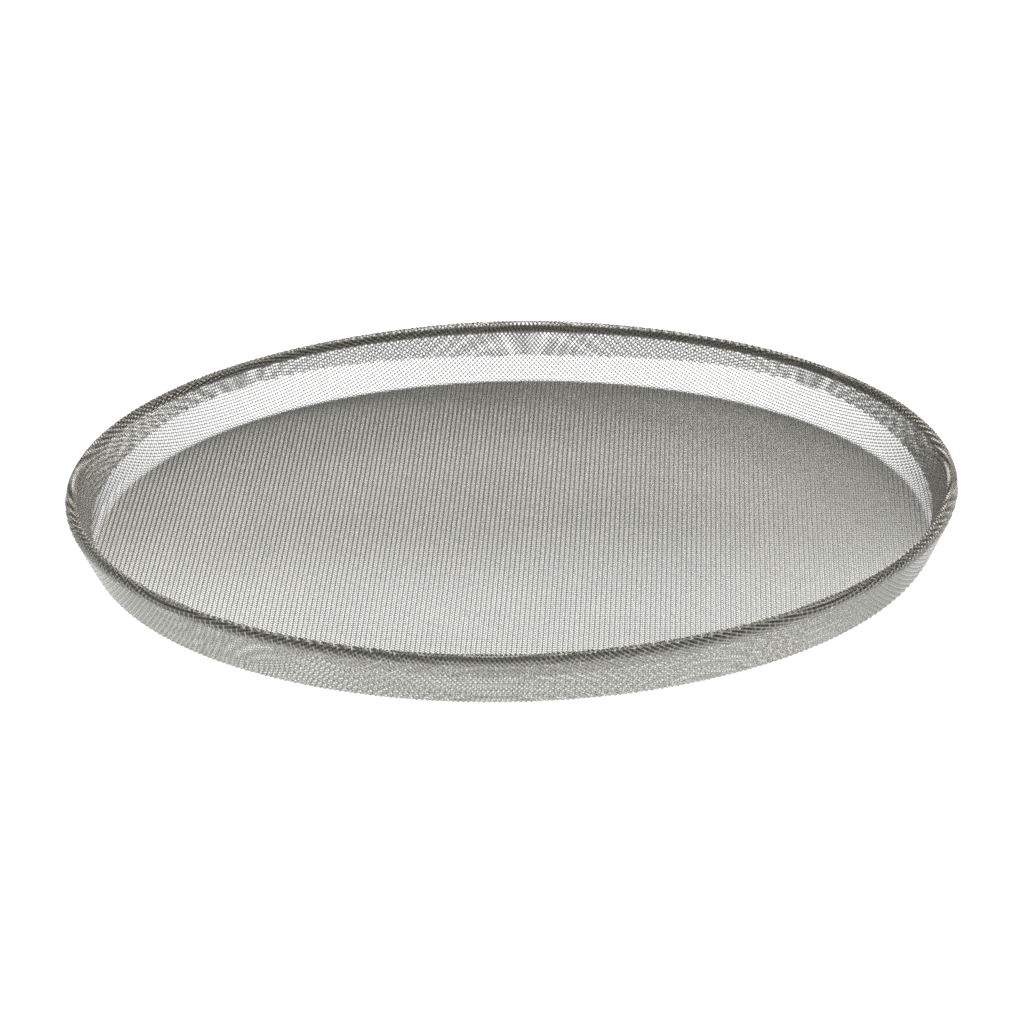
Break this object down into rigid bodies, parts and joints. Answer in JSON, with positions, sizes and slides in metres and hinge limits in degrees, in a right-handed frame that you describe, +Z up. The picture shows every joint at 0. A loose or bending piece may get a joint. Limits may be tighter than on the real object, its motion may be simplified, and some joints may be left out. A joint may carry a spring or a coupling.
{
  "type": "sieve",
  "caption": "Shallow round sieve dish of woven steel wire cloth: flat mesh floor, low flared wall and an edge rolled over a ring wire and hemmed. Sifts flour and sugar.",
  "frame": {"origin": "centre of the underside of the floor", "axes": "+Z up out of the dish, along its axis; X along the lower wires of the floor and Y along the upper ones"},
  "size_m": [0.3, 0.3, 0.02],
  "materials": {
    "cloth": "bright drawn stainless wire, plain woven",
    "ring_wire": "plain drawn stainless wire, dull"
  },
  "bodies": {
    "root": {"floor_warp_wires": "cloth", "floor_weft_wires": "cloth", "wall_cloth": "cloth", "rim_wrap_cloth": "cloth", "hem_cloth": "cloth", "rim_ring_wire": "ring_wire"}
  },
  "joints": []
}
